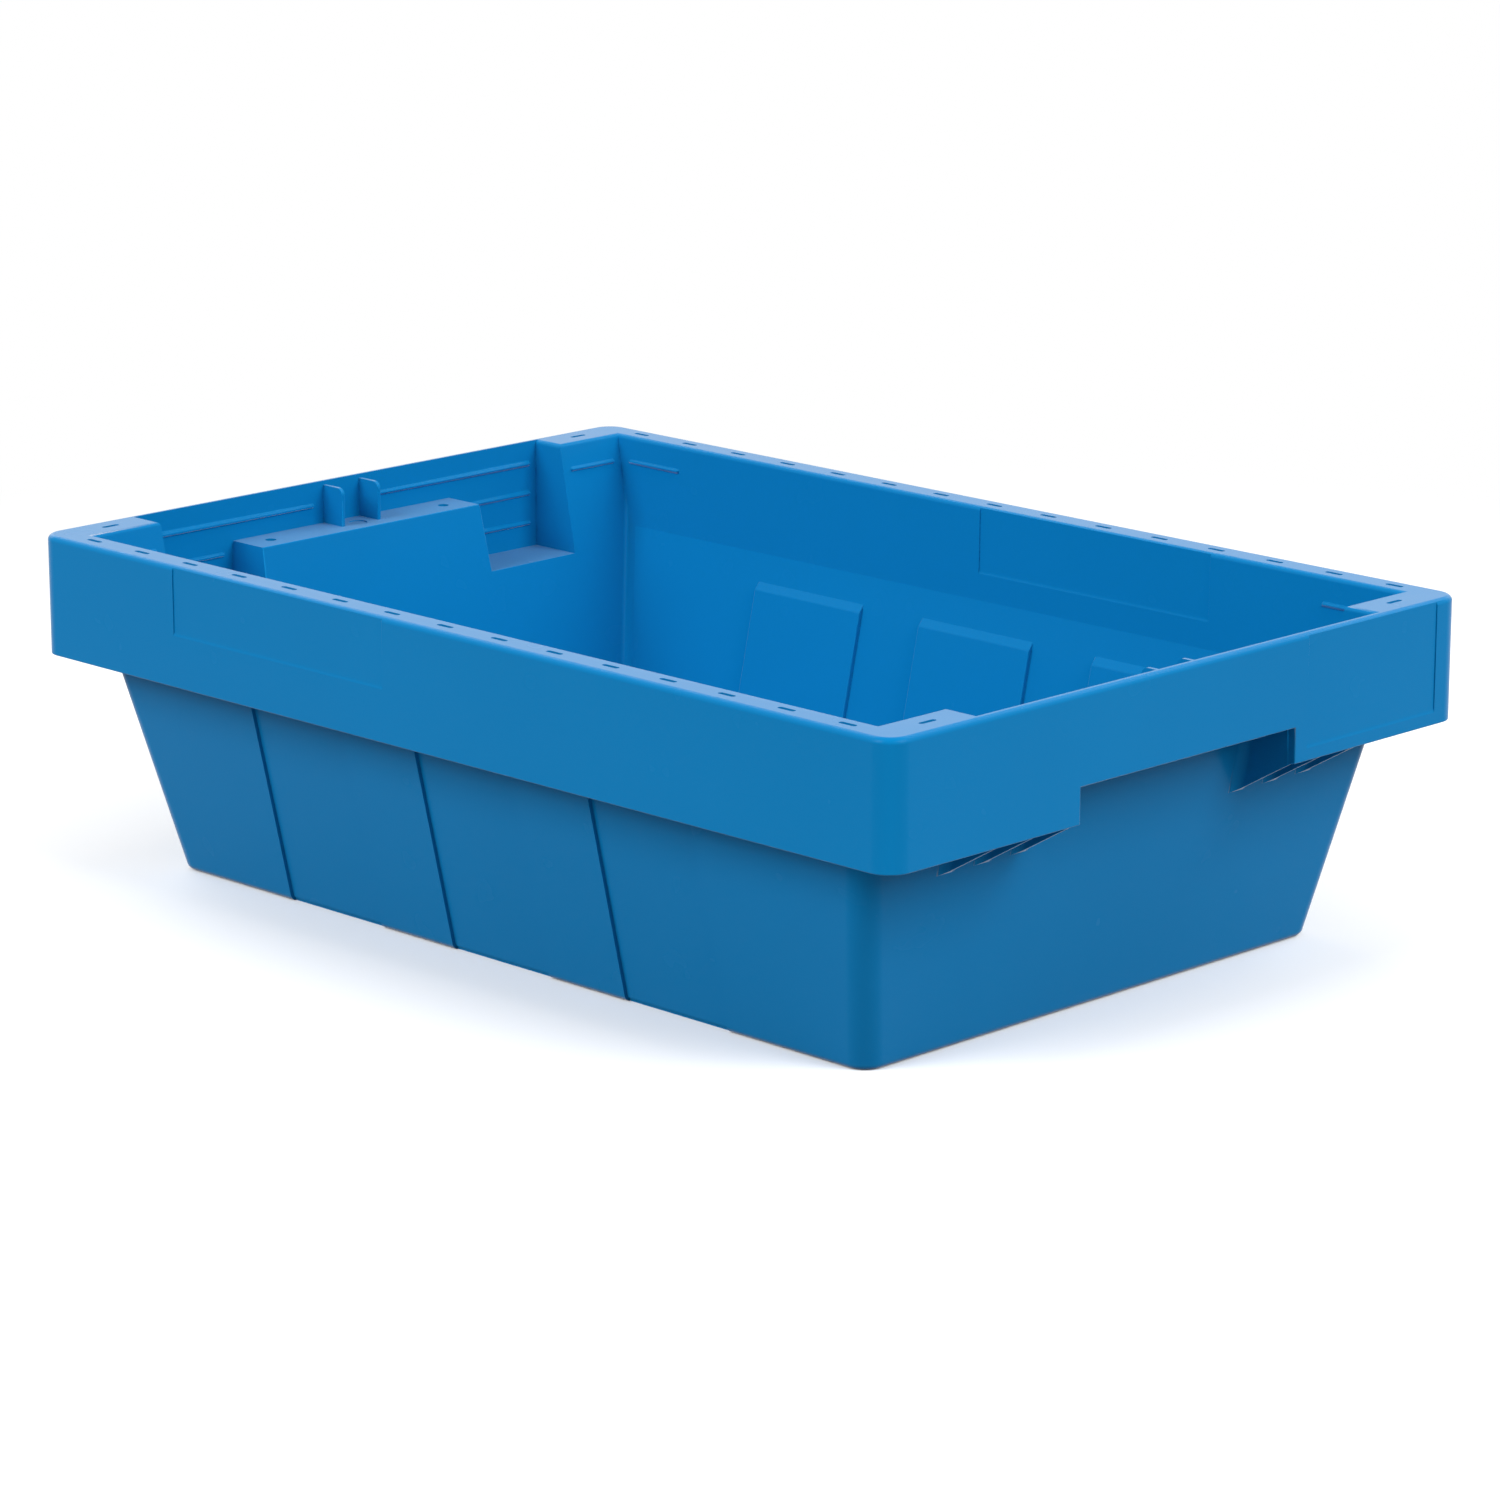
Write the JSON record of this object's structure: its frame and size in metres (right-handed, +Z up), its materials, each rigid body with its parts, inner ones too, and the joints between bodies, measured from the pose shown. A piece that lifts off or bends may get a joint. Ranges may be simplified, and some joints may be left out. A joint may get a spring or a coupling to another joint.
{
  "type": "stack and nest container",
  "caption": "Open moulded plastic container with tapered sides, a deep hanging rim, stepped end walls with hand grips and slotted top edges.",
  "frame": {"origin": "middle of the base, on the surface that the container stands on", "axes": "+X along the long side, +Y along the short side, +Z up out of the open top"},
  "size_m": [0.594, 0.4, 0.173],
  "materials": {
    "blue_plastic": "satin moulded polypropylene"
  },
  "bodies": {
    "root": {"container": "blue_plastic"}
  },
  "joints": []
}
